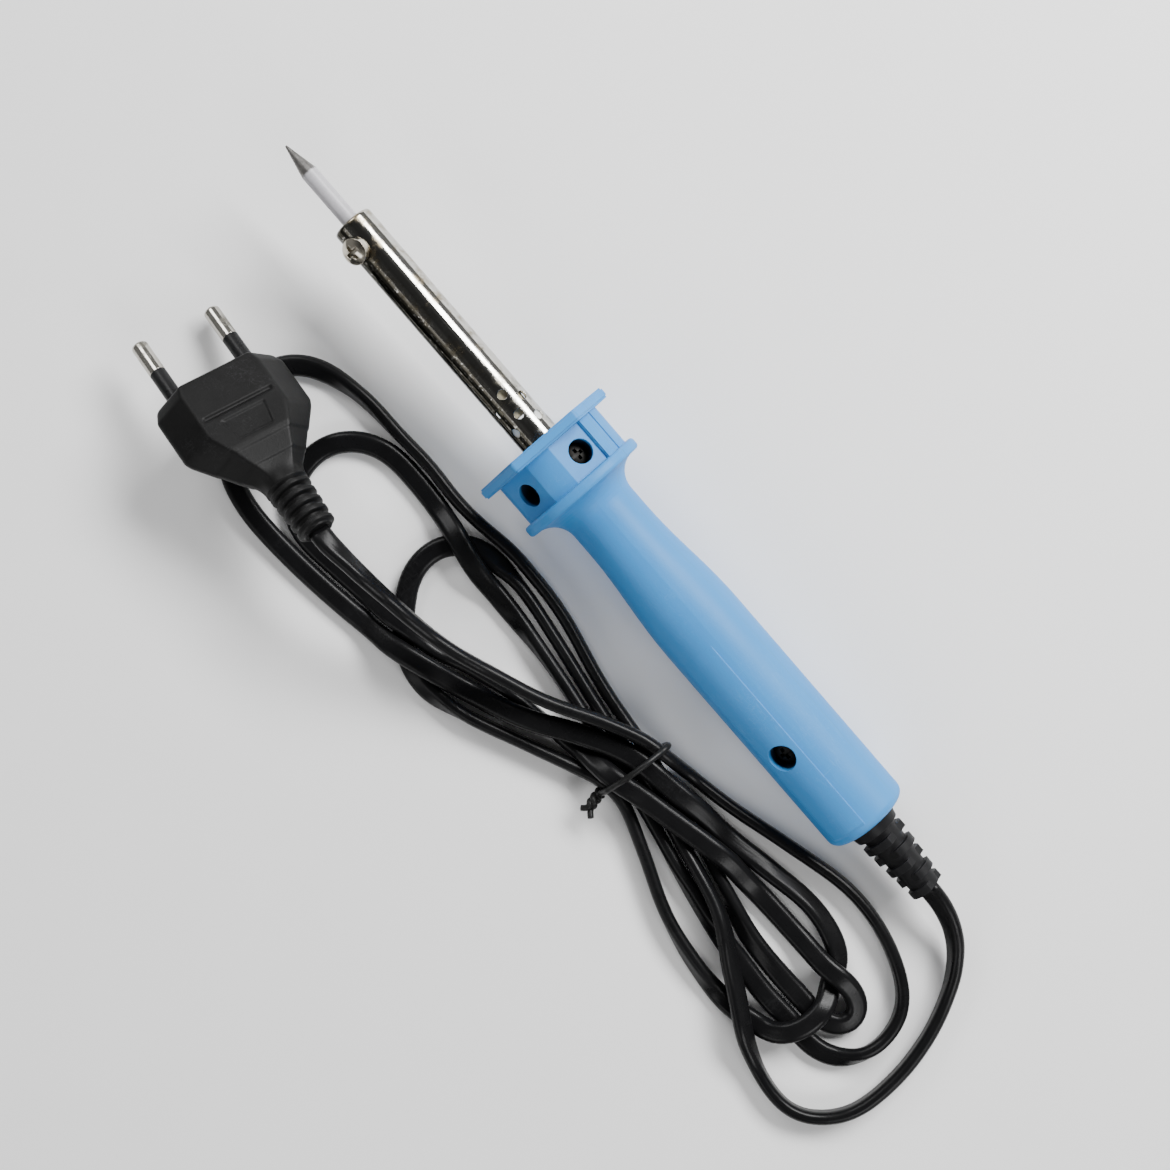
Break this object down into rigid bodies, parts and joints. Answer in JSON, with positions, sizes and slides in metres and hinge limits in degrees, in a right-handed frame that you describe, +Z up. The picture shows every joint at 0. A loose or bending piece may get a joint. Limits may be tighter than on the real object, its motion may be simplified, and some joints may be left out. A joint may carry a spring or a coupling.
{
  "type": "soldering iron",
  "caption": "Mains soldering iron: conical tip held by a side screw in a bright perforated barrel, pale blue plastic handle with a hexagonal guard, a tied flat lead and a flat two-pin plug.",
  "frame": {"origin": "on the surface that the iron lies on, under the middle of the iron from its point to the end of its strain relief", "axes": "+X towards the soldering tip, +Y to the side where the lead lies, +Z up. The iron leans 3.25 degrees about Y, as it lies on its round flange and the end of its handle."},
  "size_m": [0.2569, 0.0827, 0.0328],
  "materials": {
    "tip_plating": "grey iron-plated copper, satin",
    "nickel_screw": "nickel-plated, bright",
    "washer_steel": "blackened steel",
    "bush_brass": "turned",
    "barrel_chrome": "bright nickel-chrome plate with fine drawing lines",
    "element_steel": "thin drawn tube",
    "mica": "wrapped mica sheet",
    "heating_wire": "oxidised resistance wire",
    "white_ceramic": "unglazed",
    "glass_sleeving": "braided glass-fibre sleeving",
    "tinned_crimp": "tinned copper",
    "brown_core": "PVC insulation",
    "blue_core": "PVC insulation",
    "collar_steel": "zinc-plated",
    "blue_plastic": "satin moulded plastic, pale sky blue",
    "clamp_plastic": "moulded",
    "lead_pvc": "satin flexible PVC",
    "relief_pvc": "satin flexible PVC",
    "pin_nickel": "nickel-plated brass",
    "pin_sleeve_plastic": "moulded sleeve",
    "plug_pvc": "satin moulded PVC",
    "tie_plastic": "plastic-coated wire"
  },
  "bodies": {
    "root": {"tip_bush": "bush_brass", "barrel": "barrel_chrome", "core_tube": "element_steel", "inner_mica": "mica", "heating_coil": "heating_wire", "outer_mica": "mica", "front_spacer": "white_ceramic", "rear_insulator": "white_ceramic", "heater_lead_1": "heating_wire", "heater_lead_2": "heating_wire", "lead_sleeve_1": "glass_sleeving", "lead_sleeve_2": "glass_sleeving", "crimp_1": "tinned_crimp", "crimp_2": "tinned_crimp", "mains_core_1": "brown_core", "mains_core_2": "blue_core", "barrel_collar": "collar_steel", "collar_screw_1": "collar_steel", "collar_screw_2": "collar_steel", "handle": "blue_plastic", "clamp_screw": "collar_steel", "lead_clamp": "clamp_plastic", "inner_lead": "lead_pvc", "strain_relief": "relief_pvc", "plug_pin_1": "pin_nickel", "plug_pin_2": "pin_nickel", "pin_sleeve_1": "pin_sleeve_plastic", "pin_sleeve_2": "pin_sleeve_plastic", "plug_body": "plug_pvc", "lead_loop": "lead_pvc", "hank_low": "lead_pvc", "hank_up": "lead_pvc", "lead_end": "lead_pvc", "cord_tie": "tie_plastic"},
    "tip": {"soldering_tip": "tip_plating"},
    "tip_washer": {"tip_washer": "washer_steel"},
    "tip_screw": {"tip_screw": "nickel_screw"}
  },
  "joints": [
    {"name": "tip_slide", "type": "slide", "parent": "root", "child": "tip", "axis": [0.9984, 0, 0.0567], "range_m": [0, 0.036]},
    {"name": "tip_screw_advance", "type": "slide", "parent": "root", "child": "tip_washer", "axis": [-0.0447, 0.6157, 0.7867], "range_m": [0, 0.002]},
    {"name": "tip_screw_turn", "type": "hinge", "parent": "tip_washer", "child": "tip_screw", "pos_m": [0.08309, 0.00336, 0.02455], "axis": [-0.0447, 0.6157, 0.7867], "range_deg": [0, 1440]}
  ],
  "couplings": [
    {"joint": "tip_screw_turn", "follows": "tip_screw_advance", "rad_per_m": 12566}
  ]
}
